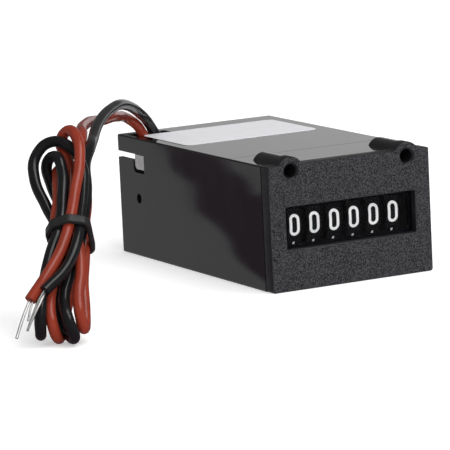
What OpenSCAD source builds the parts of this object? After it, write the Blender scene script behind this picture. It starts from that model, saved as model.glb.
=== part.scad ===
// Electromechanical totalising counter with six number wheels and two flying leads.
// A pulse in the coil pulls the armature, and its fork steps the units wheel.
// Front faces -Y, the base is at Z = 0 and the origin is under the middle of the case.

/* [Case] */
// Width of the case and the bezel
case_w = 35.2; // [34.8:0.2:40]
// Height of the case and the bezel
case_h = 24; // [23.8:0.2:28]
// Depth over the bezel and the case
case_d = 62; // [60:1:76]
// Wall of the case
case_wall = 1; // [0.8:0.1:1.1]
// Radius of the long edges
edge_r = 0.3; // [0.2:0.1:1.2]

/* [Bezel] */
// Thickness of the front plate
bezel_t = 2.8; // [2.4:0.1:3.4]
// Margin of the window beside the number wheels
window_margin = 1.19; // [0.6:0.01:1.3]
// Height of the window
window_h = 8.1; // [7:0.1:9]
// Length of the skirt that plugs into the case
skirt_l = 3; // [2:0.1:3.2]
// Wall of the skirt
skirt_t = 0.9; // [0.6:0.1:1]
// Thickness of the clear window plate
lens_t = 0.8; // [0.5:0.1:1]
// Margin of the window plate round the window
lens_margin = 0.8; // [0.5:0.1:1]

/* [Mounting holes] */
// Distance between the two screw holes
hole_spacing = 25.4; // [24.6:0.1:26]
// Diameter of the screw holes
hole_d = 2.6; // [2.2:0.1:3]
// Diameter of the chamfer at their mouths
hole_mouth_d = 3.1; // [3.1:0.1:3.6]
// Depth of the screw holes from the front
hole_depth = 9.4; // [6:0.1:9.8]
// Depth of their axis below the top of the case
hole_drop = 1.2; // [1:0.1:1.4]
// Radius of the humps on the bezel
hump_r = 2.75; // [2.5:0.05:3]
// Radius of the bosses on the case
boss_r = 2.6; // [2.2:0.05:2.7]
// Length of the bosses behind the bezel
boss_l = 7.6; // [7.2:0.1:9]

/* [Case openings] */
// Width of the lead opening in the top
lead_gap_w = 8.4; // [7:0.1:10]
// Length of the lead opening
lead_gap_l = 11.5; // [9:0.1:12]
// Strip of the top behind the lead opening
rear_strip = 2.5; // [2:0.1:3]
// Length of the latch window in the side
latch_l = 4.5; // [4:0.1:6]
// Height of the latch window
latch_h = 3.7; // [3:0.1:4]
// Height of the top of the latch window
latch_top = 20.7; // [19:0.1:20.8]
// Height of the slot from the latch window to the back
slot_h = 1.3; // [1:0.1:2]
// Diameter of the round hole in the side
side_hole_d = 2; // [1.5:0.1:3]
// Height of the round hole
side_hole_z = 11.8; // [8:0.1:14]
// Distance of the seam line from the front
seam_from_front = 15.3; // [13:0.1:20]

/* [Label] */
// Width of the label
label_w = 29.7; // [20:0.1:30]
// Depth of the label
label_d = 19.4; // [10:0.1:19.6]
// Thickness of the label
label_t = 0.12; // [0.08:0.01:0.2]
// Distance of the label from the back
label_from_back = 6.2; // [6:0.1:8]
// How far the label is off centre
label_shift = -0.45; // [-0.6:0.05:0.4]
// Corner radius of the label
label_r = 1.5; // [0.5:0.1:2]

/* [Number wheels] */
// Outer radius of the number wheels
wheel_r = 8.5; // [8.3:0.05:8.6]
// Room beside the row of wheels, both sides together
side_room = 9.28; // [9.2:0.02:9.6]
// Gap between two rims, where the gear ring and the pinion are
wheel_gap = 1.52; // [1.4:0.02:1.6]
// Thickness of the rim
rim_t = 0.6; // [0.4:0.05:0.7]
// Diameter of the wheel shaft
wheel_shaft_d = 2; // [1.6:0.1:2.4]
// Diameter of the pinion shaft
pinion_shaft_d = 1.5; // [1:0.1:1.8]
// Tip radius of the star on the units wheel
star_r = 6.3; // [5.6:0.1:6.4]

/* [Movement] */
// Thickness of the frame strip
frame_t = 0.8; // [0.6:0.05:1]
// Depth of the open space behind the frame
rear_recess = 6.8; // [6.4:0.1:8]
// Diameter of the coil core
core_d = 6; // [4:0.1:7]
// Diameter of the winding
winding_d = 15.2; // [11:0.1:15.4]
// Thickness of the bobbin's tube
bobbin_t = 1; // [0.6:0.1:1.4]
// Thickness of the bobbin's flanges
flange_t = 1.2; // [1:0.1:1.6]
// Thickness of the armature
armature_t = 1.5; // [1:0.1:1.6]
// Gap from the armature to the core at rest
pull_gap = 1.1; // [1.1:0.05:1.4]
// Diameter of the armature pin
armature_pin_d = 1.4; // [1:0.1:1.6]
// Thickness of the verge
verge_t = 0.7; // [0.5:0.05:0.8]
// Wire of the return spring
spring_wire = 0.3; // [0.2:0.02:0.32]

/* [Leads] */
// Diameter over the insulation
lead_d = 2; // [1.8:0.05:2.1]
// Diameter of the tinned conductor
conductor_d = 0.9; // [0.6:0.05:1]
// Thickness of the folded hank
hank_t = 5; // [4.6:0.1:5]
// Width of the hank inside its tie
hank_waist = 6.4; // [5.6:0.1:6.6]
// Height of the tie's band
tie_h = 1.8; // [1:0.1:2]
// Thickness of the tie's band
tie_t = 0.8; // [0.6:0.05:0.9]

/* [Hidden] */
$fn = 64;

// Clearances
fit_gap = 0.1;
press_gap = 0.02;
run_gap = 0.05;
side_gap = 0.25;
latch_gap = 0.3;
cut = 1;

// Case and bezel
front_y = -case_d / 2;
back_y = case_d / 2;
bezel_back = front_y + bezel_t;
inner_x = case_w / 2 - case_wall;
inner_top = case_h - case_wall;
hole_x = hole_spacing / 2;
hole_z = case_h - hole_drop;
mouth_depth = (hole_mouth_d - hole_d) / 2;
lens_seat = 0.4;
seam_w = 0.15;
seam_depth = 0.12;
latch_r = 1;
latch_past = 0.2;
latch_back = back_y - rear_recess + latch_past;
latch_mid = latch_back - latch_l / 2;
side_hole_in = 1.7;
side_hole_y = latch_back - side_hole_in;
lead_gap_back = back_y - rear_strip;
rear_rib_t = 0.8;
rear_rib_h = 1.5;

// Number wheels and transfer pinions
wheel_count = 6;
wheel_pitch = (case_w - side_room) / wheel_count;
rim_w = wheel_pitch - wheel_gap;
window_w = wheel_count * wheel_pitch + 2 * window_margin;
lens_w = window_w + 2 * lens_margin;
lens_h = window_h + 2 * lens_margin;
wheel_z = case_h / 2;
wheel_front_gap = 0.1;
wheel_y = bezel_back + wheel_front_gap + wheel_r;
boss_gap = 0.4;
boss_floor = wheel_z + wheel_r + boss_gap;
gear_module = 0.7;
ring_teeth = 20;
pinion_teeth = 8;
ring_pitch_r = gear_module * ring_teeth / 2;
pinion_pitch_r = gear_module * pinion_teeth / 2;
tooth_up = 0.5;
tooth_down = 0.75;
ring_tip_r = ring_pitch_r + tooth_up;
ring_root_r = ring_pitch_r - tooth_down;
pinion_tip_r = pinion_pitch_r + tooth_up;
pinion_root_r = pinion_pitch_r - tooth_down;
tooth_tip_half = 0.18;
ring_root_half = 0.62;
pinion_root_half = 0.5;
pinion_y = wheel_y + ring_pitch_r + pinion_pitch_r;
ring_w = (wheel_gap - fit_gap) / 2;
pinion_w = wheel_gap - 2 * fit_gap;
hub_t = 1;
hub_r = wheel_shaft_d / 2 + hub_t;
web_t = 1;
carry_gap = 0.4;
carry_r = ring_pitch_r - tooth_up - carry_gap;
carry_notch = 0.5;
carry_angle = 27;
carry_spread = 18;
star_teeth = 10;
star_depth = 1.9;
star_root_r = star_r - star_depth;
star_root_half = 1.1;
star_tip_half = 0.25;
star_x = wheel_pitch * (wheel_count - 1) / 2 + rim_w / 2;
star_more = 0.2;
star_w = ring_w + star_more;

// Frame
frame_x = inner_x - side_gap;
frame_in = frame_x - frame_t;
frame_front = bezel_back + skirt_l + latch_gap;
frame_back = back_y - rear_recess;
web_in = frame_back - frame_t;
frame_bottom = case_wall;
frame_drop = 2;
frame_top = inner_top - frame_drop;
bend_inside = 0.4;
frame_bend_r = frame_t + bend_inside;
notch_w = 6.75;
notch_h = 3;
tab_share = 0.85;
tab_gap = 0.3;
tab_lift = 0.6;
tab_out = side_gap + case_wall * tab_share;

// Armature and its pin
armature_room = 1.9;
armature_front = pinion_y + pinion_tip_r + armature_room;
armature_back = armature_front + armature_t;
armature_up = 6;
armature_top = wheel_z + armature_up;
armature_side = 0.5;
armature_left = -(frame_in - armature_side);
pivot_r = armature_pin_d / 2;
barrel_t = 0.7;
barrel_r = pivot_r + barrel_t;
barrel_side = 6.55;
barrel_half = frame_in - barrel_side;
pivot_y = armature_back - armature_t / 2;
pivot_raise = 1.2;
pivot_z = frame_bottom + barrel_r + pivot_raise;

// Coil
core_face = armature_back + pull_gap;
core_z = wheel_z;
core_r = core_d / 2;
neck_step = 1;
core_neck_r = core_r - neck_step;
rivet_t = 0.7;
bobbin_inset = 0.5;
bobbin_front = core_face + bobbin_inset;
flange_x = frame_in - latch_gap;
flange_raise = 3.2;
flange_low = frame_bottom + flange_raise;
flange_drop = 1.2;
flange_high = frame_top - flange_drop;
bobbin_r = core_r + run_gap + bobbin_t;
terminal_r = 0.4;
terminal_in = 1.75;
terminal_pitch = 3;
terminal_x = [-(flange_x - terminal_in), -(flange_x - terminal_in - terminal_pitch)];
terminal_y = web_in - flange_t / 2;
terminal_up = 1;
terminal_down = 2;

// Verge and return spring
verge_gap = 0.4;
verge_x = star_x + star_w + verge_gap;
pallet_angle = 40;
pallet_r = 0.6;
pallet_off = 1.1;
pallet_at = star_r + pallet_off;
pallet_in = 0.3;
pallet_x = star_x + pallet_in;
pallet_cover = 1;
pallet_lead = 0.2;
fork_half = 2.4;
fork_throat = 1.4;
fork_arm = 4.2;
fork_back = 2;
fork_root = pinion_y + pinion_shaft_d / 2 + fork_back;
verge_foot = 3.5;
spring_side = 1.45;
spring_x = -(frame_in - spring_side);
spring_ahead = 2.8;
spring_y = armature_front - spring_ahead;
spring_r = 0.9;
lug_side = 1.3;
lug_right = spring_x + lug_side;
lug_ahead = 1.2;
lug_front = spring_y - lug_ahead;
lug_t = 1;
lug_z = pivot_z + barrel_r + fit_gap;
bracket_up = 1.2;
bracket_z = wheel_z + bracket_up;
bracket_half = 1.1;
spring_low = lug_z + lug_t + run_gap;
spring_high = bracket_z - run_gap;
spring_turns = 6;
spring_steps = 12;
spring_sides = 6;

// Hank of folded leads: it leans back from its foot, and its own axes are across, depth and length
hank_lean = 45;
hank_turn = 28.1;
hank_foot = [-52.7, -81.8];
hank_lobe_mid = -1.3;
hank_top_w = 12;
hank_low_w = 10.5;
hank_top_r = 4.5;
hank_low_r = 4;
hank_low_end = 17;
hank_top_start = 28;
hank_length = 46;
tie_z = 21.7;
tie_corner = 2;
waist_mid = 0.1;

// Routes of the leads from the terminals to the top of the hank, from the case's rear left corner
black_route = [
    [6.1, -8.2, 20.7], [6.1, -7.2, 21.6], [5.6, -5.8, 22.5], [4.9, -5, 24.1],
    [3.6, -5.2, 26.1], [1.9, -6.6, 27.7], [-0.2, -9, 28.9], [-3.4, -14, 30.3],
    [-6.7, -18.8, 31.7], [-10.4, -23.4, 33.1], [-14.3, -28, 34], [-18.3, -32.5, 34],
    [-22.6, -37.6, 33.5], [-26.6, -42.9, 32.5], [-30.2, -48.5, 31.3], [-33.9, -54.5, 29.9],
    [-35.9, -58, 29]
];
red_route = [
    [3.1, -8.2, 20.7], [3, -7.4, 21.6], [2.8, -5.9, 22.5], [2.4, -4.8, 24],
    [1.4, -4.5, 25.8], [-0.5, -5, 27.3], [-2.8, -6.8, 28.4], [-6.4, -11.9, 29.3],
    [-10.3, -16.8, 30.1], [-14.7, -21.4, 30.4], [-18.8, -26.9, 31.3], [-22.8, -32.3, 32.1],
    [-27.7, -39.8, 32.6], [-32.2, -47.5, 32.7], [-34.4, -53, 32.2]
];

// Routes of the free ends on the front of the hank, in its own axes
end_depth = -(hank_t / 2 + lead_d / 2 + press_gap);
red_end_route = [
    [-0.7, end_depth, 20.9], [-1.3, end_depth, 18.8], [-2.1, end_depth, 15.7],
    [-4, end_depth, 12], [-6.2, end_depth, 8.8], [-7.4, end_depth, 6.3]
];
black_end_route = [
    [1.7, end_depth, 20.6], [1.3, end_depth, 17.7], [0.6, end_depth, 14.9],
    [-0.7, end_depth, 12.3], [-2.6, end_depth, 9.9], [-4.3, end_depth, 7.8]
];
red_tip_route = [[-7.45, end_depth, 6.2], [-8.8, end_depth, 2.5], [-10, end_depth, -2]];
black_tip_route = [[-4.4, end_depth, 7.7], [-6, end_depth, 4], [-7.5, end_depth, -0.6]];

// Place of number wheel i, counted from the units wheel at the right
function wheel_x(i) = wheel_pitch * ((wheel_count + 1) / 2 - i);

// Outline of a straight-flanked gear or star, teeth centred on the phase angle
function tooth_points(teeth, root_r, tip_r, root_half, tip_half, phase) = [
    for (k = [0 : teeth - 1])
        let (a = phase + 360 * k / teeth, ra = asin(root_half / root_r), ta = asin(tip_half / tip_r))
            for (q = [[root_r, a - ra], [tip_r, a - ta], [tip_r, a + ta], [root_r, a + ra]])
                [q[0] * cos(q[1]), q[0] * sin(q[1])]
];

// Rings of a tube that follows a route without twisting, and the tube's faces
function unit(v) = v / norm(v);
function heading(p, i) = unit(p[min(i + 1, len(p) - 1)] - p[max(i - 1, 0)]);
function square_to(s, t) = unit(s - (s * t) * t);
function ring_sides(p) = [
    for (i = 0, s = square_to([1, 0, 0], heading(p, 0)); i < len(p);
         i = i + 1, s = square_to(s, heading(p, min(i, len(p) - 1)))) s
];
function tube_points(p, r, sides) =
    let (across = ring_sides(p))
        [for (i = [0 : len(p) - 1], k = [0 : sides - 1])
            let (a = 360 * k / sides, u = cross(heading(p, i), across[i]))
                p[i] + r * (cos(a) * across[i] + sin(a) * u)];
function tube_faces(n, sides) = concat(
    [[for (k = [0 : sides - 1]) k]],
    [for (i = [0 : n - 2], k = [0 : sides - 1], half = [0, 1])
        let (a = i * sides + k, b = i * sides + (k + 1) % sides)
            half == 0 ? [a, a + sides, b + sides] : [a, b + sides, b]],
    [[for (k = [sides - 1 : -1 : 0]) (n - 1) * sides + k]]
);

module tube(p, r, sides = 8) {
    polyhedron(tube_points(p, r, sides), tube_faces(len(p), sides), convexity = 8);
}

// Extrusions of outlines drawn in X and Z along Y, and in Y and Z along X
module along_y(from, to) {
    translate([0, to, 0])
        rotate([90, 0, 0])
            linear_extrude(to - from)
                children();
}

module along_x(from, to) {
    translate([from, 0, 0])
        rotate([90, 0, 90])
            linear_extrude(to - from)
                children();
}

module round_rect(w, h, r) {
    square([w - 2 * r, h], center = true);
    square([w, h - 2 * r], center = true);
    for (x = [-1, 1], y = [-1, 1])
        translate([x * (w / 2 - r), y * (h / 2 - r)])
            circle(r);
}

module case_section(inset = 0) {
    translate([0, case_h / 2])
        round_rect(case_w - 2 * inset, case_h - 2 * inset, edge_r);
}

module inner_section(inset = 0) {
    translate([-inner_x + inset, case_wall + inset])
        square([2 * (inner_x - inset), inner_top - case_wall - 2 * inset]);
}

module at_holes() {
    for (s = [-1, 1])
        translate([s * hole_x, hole_z])
            children();
}

module screw_holes() {
    along_y(front_y - cut, front_y + hole_depth)
        at_holes()
            circle(hole_d / 2);
}

module hole_mouths() {
    for (s = [-1, 1])
        translate([s * hole_x, front_y, hole_z])
            rotate([-90, 0, 0])
                cylinder(h = mouth_depth, r1 = hole_mouth_d / 2, r2 = hole_d / 2);
}

module bezel() {
    color([0.24, 0.24, 0.26])
        difference() {
            union() {
                along_y(front_y, bezel_back) {
                    case_section();
                    at_holes() circle(hump_r);
                }
                along_y(bezel_back - fit_gap, bezel_back + skirt_l)
                    difference() {
                        inner_section(fit_gap);
                        inner_section(fit_gap + skirt_t);
                        for (s = [-1, 1])
                            translate([s * hole_x - boss_r - 2 * fit_gap, boss_floor - 2 * fit_gap])
                                square([2 * boss_r + 4 * fit_gap, case_h]);
                    }
            }
            along_y(front_y - cut, bezel_back + cut)
                translate([0, wheel_z])
                    square([window_w, window_h], center = true);
            along_y(bezel_back - lens_t - lens_seat, bezel_back + cut)
                translate([0, wheel_z])
                    square([lens_w, lens_h], center = true);
            screw_holes();
            hole_mouths();
        }
}

module window_lens() {
    color([0.8, 0.85, 0.9, 0.4])
        along_y(bezel_back - lens_t - lens_seat, bezel_back - lens_seat)
            translate([0, wheel_z])
                square([lens_w - 2 * fit_gap, lens_h - 2 * fit_gap], center = true);
}

// The bosses end flat just above the number wheels
module bosses() {
    intersection() {
        along_y(bezel_back, bezel_back + boss_l)
            at_holes() circle(boss_r);
        translate([-case_w, front_y, boss_floor])
            cube([2 * case_w, case_d, case_h]);
    }
}

// Latch window with one rounded corner, and the slot that runs from it to the back
module latch_outline(inset = 0) {
    difference() {
        translate([latch_back - latch_l + inset, latch_top - latch_h + inset])
            square([latch_l - 2 * inset, latch_h - 2 * inset]);
        translate([latch_back - inset - latch_r, latch_top - latch_h + inset])
            difference() {
                square(latch_r);
                translate([0, latch_r]) circle(latch_r);
            }
    }
}

// Outline of the frame's tab in the latch window, clear of its rear and lower edges
module latch_tab() {
    intersection() {
        latch_outline(fit_gap);
        translate([-tab_gap, tab_lift]) latch_outline(fit_gap);
    }
}

module side_cuts() {
    along_x(-case_w, case_w) {
        latch_outline();
        translate([latch_mid, latch_top - slot_h])
            square([case_d, slot_h]);
    }
    along_x(-case_w, case_w)
        translate([side_hole_y, side_hole_z])
            circle(side_hole_d / 2);
}

module case() {
    color([0.06, 0.06, 0.065])
        difference() {
            union() {
                difference() {
                    along_y(bezel_back, back_y) case_section();
                    along_y(bezel_back - cut, back_y + cut) inner_section();
                }
                bosses();
                translate([-inner_x - fit_gap, back_y - rear_rib_t, inner_top - rear_rib_h])
                    cube([2 * (inner_x + fit_gap), rear_rib_t, rear_rib_h + fit_gap]);
            }
            screw_holes();
            side_cuts();
            translate([-inner_x, lead_gap_back - lead_gap_l, inner_top - cut])
                cube([lead_gap_w, lead_gap_l, case_wall + 2 * cut]);
            translate([-case_w, front_y + seam_from_front, case_h - seam_depth])
                cube([2 * case_w, seam_w, cut]);
        }
}

module label() {
    color([0.94, 0.94, 0.96])
        translate([label_shift, back_y - label_from_back - label_d / 2, case_h])
            linear_extrude(label_t)
                round_rect(label_w, label_d, label_r);
}

module frame_plan() {
    difference() {
        translate([0, (frame_front + frame_back) / 2])
            round_rect(2 * frame_x, frame_back - frame_front, frame_bend_r);
        translate([-frame_in, frame_front - cut])
            square([2 * frame_in, web_in - frame_front + cut]);
    }
    for (s = [-1, 1])
        translate([s * (frame_in + frame_t / 2), frame_front + frame_bend_r])
            square([frame_t, 2 * frame_bend_r], center = true);
}

module shaft_hole(y, z, r) {
    along_x(-case_w, case_w)
        translate([y, z])
            circle(r + press_gap);
}

module movement_frame() {
    color([0.62, 0.62, 0.61])
        difference() {
            union() {
                translate([0, 0, frame_bottom])
                    linear_extrude(frame_top - frame_bottom)
                        frame_plan();
                for (s = [-1, 1])
                    mirror([s < 0 ? 1 : 0, 0, 0])
                        along_x(frame_x - frame_t / 2, frame_x + tab_out)
                            latch_tab();
                translate([-frame_in - frame_t / 2, spring_y - bracket_half, bracket_z])
                    cube([lug_right + frame_in + frame_t / 2, 2 * bracket_half, frame_t]);
            }
            shaft_hole(wheel_y, wheel_z, wheel_shaft_d / 2);
            shaft_hole(pinion_y, wheel_z, pinion_shaft_d / 2);
            shaft_hole(pivot_y, pivot_z, pivot_r);
            along_y(web_in - cut, frame_back + cut)
                translate([0, core_z])
                    circle(core_neck_r + press_gap);
            translate([-flange_x, web_in - cut, frame_top - notch_h])
                cube([notch_w, frame_t + 2 * cut, notch_h + cut]);
        }
}

module cross_rod(y, z, r) {
    along_x(-frame_x, frame_x)
        translate([y, z])
            circle(r);
}

module wheel_shaft() {
    color([0.75, 0.75, 0.76])
        cross_rod(wheel_y, wheel_z, wheel_shaft_d / 2);
}

module pinion_shaft() {
    color([0.75, 0.75, 0.76])
        cross_rod(pinion_y, wheel_z, pinion_shaft_d / 2);
}

// Drum with a hub and a web, a gear ring or star at its right and a carry disc at its left
module number_wheel(i) {
    x = wheel_x(i);
    right = x + rim_w / 2;
    left = x - rim_w / 2;
    color([0.05, 0.05, 0.05])
        translate([0, wheel_y, wheel_z])
            difference() {
                union() {
                    along_x(left, right)
                        difference() {
                            circle(wheel_r);
                            circle(wheel_r - rim_t);
                        }
                    along_x(right - web_t, right) circle(wheel_r - rim_t / 2);
                    along_x(x - (wheel_pitch - fit_gap) / 2, x + (wheel_pitch - fit_gap) / 2)
                        circle(hub_r);
                    if (i == 1)
                        along_x(right - web_t, right + star_w)
                            polygon(tooth_points(
                                star_teeth, star_root_r, star_r, star_root_half, star_tip_half, 0));
                    else
                        along_x(right - web_t, right + ring_w)
                            polygon(tooth_points(
                                ring_teeth, ring_root_r, ring_tip_r, ring_root_half, tooth_tip_half, 0));
                    along_x(left - ring_w, right - web_t)
                        difference() {
                            circle(carry_r);
                            for (s = [-1, 0, 1])
                                rotate(carry_angle + s * carry_spread)
                                    translate([carry_r, 0])
                                        square(2 * carry_notch, center = true);
                        }
                }
                along_x(-case_w, case_w) circle(wheel_shaft_d / 2 + run_gap);
            }
}

// Pinion in the gap between two wheels, in mesh with the ring of the wheel at its left
module transfer_pinion(i) {
    x = (wheel_x(i) + wheel_x(i + 1)) / 2;
    color([0.8, 0.78, 0.7])
        translate([0, pinion_y, wheel_z])
            along_x(x - pinion_w / 2, x + pinion_w / 2)
                difference() {
                    polygon(tooth_points(
                        pinion_teeth, pinion_root_r, pinion_tip_r, pinion_root_half, tooth_tip_half,
                        180 / pinion_teeth));
                    circle(pinion_shaft_d / 2 + run_gap);
                }
}

module flange(y) {
    along_y(y, y + flange_t)
        translate([-flange_x, flange_low])
            square([2 * flange_x, flange_high - flange_low]);
}

module coil_bobbin() {
    color([0.2, 0.2, 0.2])
        difference() {
            union() {
                flange(bobbin_front);
                flange(web_in - flange_t);
                along_y(bobbin_front, web_in)
                    translate([0, core_z])
                        circle(bobbin_r);
            }
            along_y(bobbin_front - cut, web_in + cut)
                translate([0, core_z])
                    circle(core_r + run_gap);
        }
}

module coil_winding() {
    color([0.55, 0.27, 0.12])
        along_y(bobbin_front + flange_t, web_in - flange_t)
            translate([0, core_z])
                difference() {
                    circle(winding_d / 2);
                    circle(bobbin_r + press_gap);
                }
}

module coil_core() {
    color([0.6, 0.6, 0.6])
        translate([0, 0, core_z]) {
            along_y(core_face, web_in) circle(core_r);
            along_y(web_in - cut, frame_back + rivet_t) circle(core_neck_r);
            along_y(frame_back, frame_back + rivet_t) circle(core_r);
        }
}

module lead_terminals() {
    color([0.8, 0.75, 0.5])
        for (x = terminal_x)
            translate([x, terminal_y, flange_high - terminal_down])
                cylinder(h = terminal_down + terminal_up, r = terminal_r);
}

module armature() {
    color([0.58, 0.58, 0.57])
        difference() {
            union() {
                translate([armature_left, armature_front, pivot_z])
                    cube([verge_x - armature_left, armature_t, armature_top - pivot_z]);
                along_x(-barrel_half, barrel_half)
                    translate([pivot_y, pivot_z])
                        circle(barrel_r);
                translate([armature_left, lug_front, lug_z])
                    cube([lug_right - armature_left, pivot_y - lug_front, lug_t]);
            }
            along_x(-case_w, case_w)
                translate([pivot_y, pivot_z])
                    circle(pivot_r + run_gap);
            for (s = [-1, 1])
                translate([s * (barrel_half + case_w), pivot_y, pivot_z])
                    cube([2 * case_w, 4 * barrel_r, 2 * barrel_r + 2 * fit_gap], center = true);
        }
}

module armature_pin() {
    color([0.75, 0.75, 0.76])
        cross_rod(pivot_y, pivot_z, pivot_r);
}

// Fork at the right end of the armature, with a pallet over and under the star
module verge() {
    at = [for (a = [pallet_angle, -pallet_angle])
        [wheel_y + pallet_at * cos(a), wheel_z + pallet_at * sin(a)]];
    color([0.7, 0.68, 0.6]) {
        along_x(verge_x, verge_x + verge_t)
            polygon([
                [armature_back, wheel_z + verge_foot],
                [fork_root, wheel_z + fork_arm],
                at[0] + [pallet_lead, pallet_cover],
                at[0] - [pallet_cover, 0],
                [pinion_y, wheel_z + fork_half],
                [fork_root, wheel_z + fork_throat],
                [fork_root, wheel_z - fork_throat],
                [pinion_y, wheel_z - fork_half],
                at[1] - [pallet_cover, 0],
                at[1] + [pallet_lead, -pallet_cover],
                [fork_root, wheel_z - fork_arm],
                [armature_back, wheel_z - verge_foot]
            ]);
        along_x(pallet_x, verge_x + verge_t / 2)
            for (p = at)
                translate(p)
                    circle(pallet_r);
    }
}

// Open coil between the armature's lug and the frame's bracket
module return_spring() {
    count = spring_turns * spring_steps;
    low = spring_low + spring_wire / 2;
    high = spring_high - spring_wire / 2;
    color([0.75, 0.75, 0.77])
        tube([for (k = [0 : count])
            let (a = 360 * k / spring_steps, z = low + (high - low) * k / count)
                [spring_x + spring_r * cos(a), spring_y + spring_r * sin(a), z]],
            spring_wire / 2, spring_sides);
}

module at_corner() {
    translate([-inner_x, back_y, 0])
        children();
}

module red_lead() {
    color([0.6, 0.25, 0.2]) at_corner() tube(red_route, lead_d / 2);
}

module black_lead() {
    color([0.13, 0.13, 0.14]) at_corner() tube(black_route, lead_d / 2);
}

module at_hank() {
    at_corner()
        translate([hank_foot[0], hank_foot[1], hank_t / 2 * sin(hank_lean)])
            rotate([-hank_lean, 0, -hank_turn])
                children();
}

module hank_outline() {
    half = hank_waist / 2;
    low_half = hank_low_w / 2;
    top_half = hank_top_w / 2;
    translate([hank_lobe_mid, hank_low_end / 2])
        round_rect(hank_low_w, hank_low_end, hank_low_r);
    translate([hank_lobe_mid, (hank_top_start + hank_length) / 2])
        round_rect(hank_top_w, hank_length - hank_top_start, hank_top_r);
    polygon([
        [hank_lobe_mid - low_half, hank_low_end - hank_low_r],
        [hank_lobe_mid + low_half, hank_low_end - hank_low_r],
        [waist_mid + half, tie_z],
        [waist_mid + half, tie_z + tie_h],
        [hank_lobe_mid + top_half, hank_top_start + hank_top_r],
        [hank_lobe_mid - top_half, hank_top_start + hank_top_r],
        [waist_mid - half, tie_z + tie_h],
        [waist_mid - half, tie_z]
    ]);
}

module lead_hank() {
    color([0.4, 0.2, 0.18])
        at_hank()
            along_y(-hank_t / 2, hank_t / 2)
                hank_outline();
}

module lead_tie() {
    inner_w = hank_waist + 2 * fit_gap;
    inner_t = hank_t + 2 * fit_gap;
    color([0.08, 0.08, 0.08])
        at_hank()
            translate([waist_mid, 0, tie_z])
                linear_extrude(tie_h)
                    difference() {
                        round_rect(inner_w + 2 * tie_t, inner_t + 2 * tie_t, tie_corner);
                        square([inner_w, inner_t], center = true);
                    }
}

module red_lead_end() {
    color([0.6, 0.25, 0.2]) at_hank() tube(red_end_route, lead_d / 2);
}

module black_lead_end() {
    color([0.13, 0.13, 0.14]) at_hank() tube(black_end_route, lead_d / 2);
}

module red_lead_tip() {
    color([0.85, 0.85, 0.86]) at_hank() tube(red_tip_route, conductor_d / 2);
}

module black_lead_tip() {
    color([0.85, 0.85, 0.86]) at_hank() tube(black_tip_route, conductor_d / 2);
}

bezel();
window_lens();
case();
label();
movement_frame();
wheel_shaft();
pinion_shaft();
for (i = [1 : wheel_count]) number_wheel(i);
for (i = [1 : wheel_count - 1]) transfer_pinion(i);
coil_bobbin();
coil_winding();
coil_core();
lead_terminals();
armature();
armature_pin();
verge();
return_spring();
red_lead();
black_lead();
lead_hank();
lead_tie();
red_lead_end();
black_lead_end();
red_lead_tip();
black_lead_tip();
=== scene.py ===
import math

import bmesh
import bpy
from mathutils import Matrix, Vector


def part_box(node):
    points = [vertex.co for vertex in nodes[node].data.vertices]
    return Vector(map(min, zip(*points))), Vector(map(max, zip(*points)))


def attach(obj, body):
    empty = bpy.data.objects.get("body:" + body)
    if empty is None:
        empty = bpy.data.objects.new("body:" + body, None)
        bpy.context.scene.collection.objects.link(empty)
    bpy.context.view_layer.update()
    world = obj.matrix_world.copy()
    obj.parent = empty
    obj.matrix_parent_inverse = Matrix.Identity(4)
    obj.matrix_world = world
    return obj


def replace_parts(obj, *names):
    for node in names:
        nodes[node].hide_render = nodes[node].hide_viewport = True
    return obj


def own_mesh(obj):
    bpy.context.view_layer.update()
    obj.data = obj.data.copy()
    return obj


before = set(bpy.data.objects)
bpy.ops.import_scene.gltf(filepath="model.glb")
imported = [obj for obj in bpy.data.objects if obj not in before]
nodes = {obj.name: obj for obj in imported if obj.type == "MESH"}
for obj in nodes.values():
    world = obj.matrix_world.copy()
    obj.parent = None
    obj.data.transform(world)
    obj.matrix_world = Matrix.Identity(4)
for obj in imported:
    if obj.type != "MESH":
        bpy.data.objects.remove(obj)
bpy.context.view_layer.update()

# Lengths are in millimetres in the CAD model's frame, unless a comment says metres
MM = 0.001
CASE_W, CASE_H = 35.2, 24.0
FRONT_Y, BEZEL_BACK, BACK_Y = -31.0, -28.2, 31.0
WALL = 1.0
EDGE_R = 0.3
HOLE_X, HOLE_Z, HOLE_R = 12.7, 22.8, 1.3
HOLE_END_Y = -21.6
WHEEL_Y, WHEEL_Z, WHEEL_R = -19.6, 12.0, 8.5
WHEEL_COUNT, WHEEL_PITCH = 6, 4.32
WINDOW_W, WINDOW_H = 28.3, 8.1
LEAD_R = 1.03

# Camera, at the photograph's place
CAMERA_AT = (-335.604, -608.263, 125.070)
CAMERA_AZIMUTH, CAMERA_ELEVATION, CAMERA_ROLL = -28.114, 9.599, -2.793
CAMERA_LENS, CAMERA_SENSOR = 286.5, 36
CAMERA_NEAR, CAMERA_FAR = 10, 20000


def add_camera():
    az, el, roll = (math.radians(a) for a in (CAMERA_AZIMUTH, CAMERA_ELEVATION, CAMERA_ROLL))
    back = Vector((math.sin(az) * math.cos(el), -math.cos(az) * math.cos(el), math.sin(el)))
    right = (-back).cross(Vector((0, 0, 1))).normalized()
    up = right.cross(-back)
    right, up = (
        math.cos(roll) * right + math.sin(roll) * up,
        math.cos(roll) * up - math.sin(roll) * right,
    )
    data = bpy.data.cameras.new("camera")
    data.lens = CAMERA_LENS
    data.sensor_width = CAMERA_SENSOR
    data.clip_start, data.clip_end = CAMERA_NEAR * MM, CAMERA_FAR * MM
    camera = bpy.data.objects.new("camera", data)
    place = Matrix((right, up, back)).transposed().to_4x4()
    place.translation = Vector(CAMERA_AT) * MM
    camera.matrix_world = place
    bpy.context.collection.objects.link(camera)
    bpy.context.scene.camera = camera


add_camera()


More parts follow.
